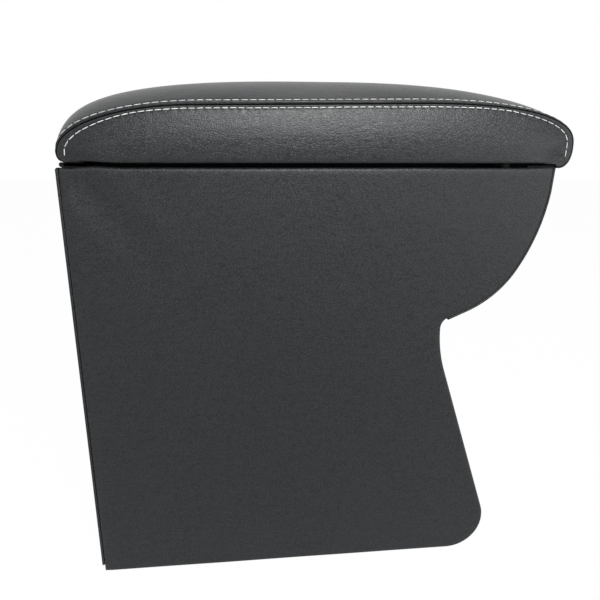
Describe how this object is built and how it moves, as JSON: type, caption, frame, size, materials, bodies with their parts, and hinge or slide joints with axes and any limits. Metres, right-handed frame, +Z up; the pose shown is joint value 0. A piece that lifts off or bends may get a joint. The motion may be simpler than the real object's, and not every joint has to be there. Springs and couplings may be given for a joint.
{
  "type": "car centre armrest",
  "caption": "Upholstered armrest box on straddling cheeks, with an overhanging nose, a lined compartment and a padded hinged lid.",
  "frame": {"origin": "under the middle of the whole part, on the floor that the cheeks stand on", "axes": "+X to the front, where the lid overhangs the box; +Y to the left cheek; +Z up"},
  "size_m": [0.338, 0.153, 0.3519],
  "materials": {
    "leatherette": "black, fine pebbled grain with a soft sheen",
    "board": "raw plywood",
    "felt": "charcoal needle felt",
    "foam": "soft polyurethane foam",
    "steel": "zinc plated",
    "rubber": "matt black",
    "black_steel": "steel under black lacquer"
  },
  "bodies": {
    "box": {"left_cheek": "board", "right_cheek": "board", "left_cheek_cover": "leatherette", "right_cheek_cover": "leatherette", "back_panel": "board", "back_cover": "leatherette", "front_panel": "board", "front_cover": "leatherette", "compartment_floor": "board", "left_floor_cleat": "board", "right_floor_cleat": "board", "compartment_liner": "felt", "box_hinge_leaf": "black_steel", "hinge_pin": "black_steel", "box_hinge_screws": "black_steel", "rim_buffers": "rubber", "panel_screws": "steel", "cleat_screws": "steel"},
    "lid": {"lid_board": "board", "lid_foam": "foam", "lid_centre_strip": "leatherette", "lid_left_side": "leatherette", "lid_right_side": "leatherette", "nest_board": "board", "nest_felt": "felt", "lid_hinge_leaf": "black_steel", "lid_hinge_screws": "black_steel", "nest_screws": "steel"}
  },
  "joints": [
    {"name": "lid_hinge", "type": "hinge", "parent": "box", "child": "lid", "pos_m": [-0.163, 0, 0.2962], "axis": [0, -1, 0], "range_deg": [0, 104]}
  ]
}
